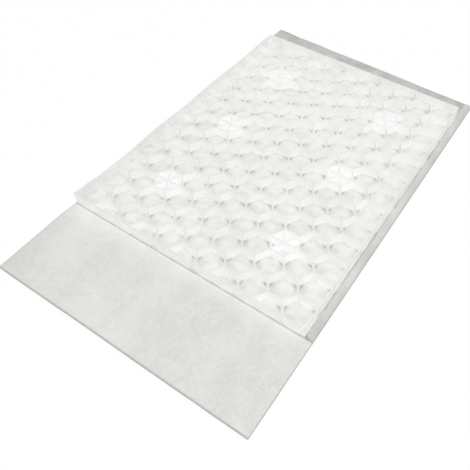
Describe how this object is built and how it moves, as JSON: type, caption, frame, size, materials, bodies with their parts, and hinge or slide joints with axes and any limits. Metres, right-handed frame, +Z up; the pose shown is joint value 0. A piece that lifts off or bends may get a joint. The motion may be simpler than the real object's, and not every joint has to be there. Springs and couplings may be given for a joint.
{
  "type": "gravel stabilizer mat",
  "caption": "Rectangular moulded honeycomb grid of open hexagonal cells on a geotextile membrane that projects as a wide flap and narrow strips; holds gravel on paths and drives.",
  "frame": {"origin": "on the floor under the middle of the whole mat, membrane flap and strips included", "axes": "+X along the long edge, away from the wide membrane flap; +Y across, towards the long edge where the membrane is flush with the panel; +Z up, out of the open cells"},
  "size_m": [1.0822, 0.6214, 0.026],
  "materials": {
    "panel_plastic": "satin translucent white",
    "membrane_fabric": "pale grey thermally bonded nonwoven"
  },
  "bodies": {
    "root": {"honeycomb_panel": "panel_plastic", "geotextile_membrane": "membrane_fabric"}
  },
  "joints": []
}
